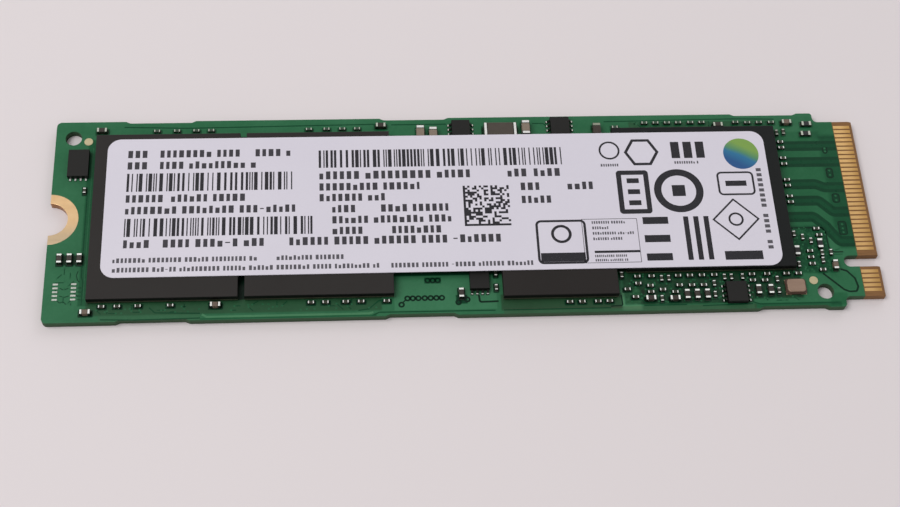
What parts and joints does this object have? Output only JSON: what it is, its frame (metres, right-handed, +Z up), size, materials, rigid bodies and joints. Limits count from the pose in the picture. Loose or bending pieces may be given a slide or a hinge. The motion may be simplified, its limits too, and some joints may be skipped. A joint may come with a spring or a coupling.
{
  "type": "solid state drive module",
  "caption": "Narrow solid state storage module: circuit board with keyed card edge, half-round screw notch, memory packages, small components and a flat label.",
  "frame": {"origin": "centre of the half-round screw notch, at the underside of the board", "axes": "+X along the board to the card edge, +Y across the board away from the key notch, +Z up out of the component side"},
  "size_m": [0.08, 0.022, 0.0019],
  "materials": {
    "solder_mask": "glossy green solder mask over laminate",
    "gold": "satin gold plating",
    "solder": "bright reflowed tin solder",
    "substrate": "dark laminate, cut edge",
    "mould": "fine grained moulded epoxy",
    "label": "matt printed film",
    "capacitor": "fired ceramic, semi-matt",
    "resistor": "black glazed overcoat",
    "inductor": "pressed iron powder",
    "crystal_ceramic": "dark ceramic base",
    "crystal_metal": "matt metal lid"
  },
  "bodies": {
    "root": {"bulk_capacitor_bodies": "capacitor", "bulk_capacitor_terminals": "solder", "circuit_board": "solder_mask", "controller_mould": "mould", "controller_solder_balls": "solder", "controller_substrate": "substrate", "crystal_base": "crystal_ceramic", "crystal_lid": "crystal_metal", "crystal_pads": "gold", "edge_contacts_bottom": "gold", "edge_contacts_top": "gold", "flash_1_mould": "mould", "flash_1_solder_balls": "solder", "flash_1_substrate": "substrate", "flash_2_mould": "mould", "flash_2_solder_balls": "solder", "flash_2_substrate": "substrate", "large_capacitor_bodies": "capacitor", "large_capacitor_terminals": "solder", "load_switch_body": "mould", "load_switch_leads": "solder", "medium_capacitor_bodies": "capacitor", "medium_capacitor_terminals": "solder", "memory_mould": "mould", "memory_solder_balls": "solder", "memory_substrate": "substrate", "placement_marks": "gold", "power_converter_body": "mould", "power_converter_tabs": "solder", "power_inductor_bodies": "inductor", "power_inductor_terminals": "solder", "product_label": "label", "resistor_bodies": "resistor", "resistor_terminals": "solder", "screw_notch_plating": "gold", "serial_memory_body": "mould", "serial_memory_tabs": "solder", "small_capacitor_bodies": "capacitor", "small_capacitor_terminals": "solder", "spare_footprint_pads": "solder", "supply_monitor_body": "mould", "supply_monitor_leads": "solder", "temperature_sensor_body": "mould", "temperature_sensor_leads": "solder", "voltage_detector_body": "mould", "voltage_detector_leads": "solder"}
  },
  "joints": []
}
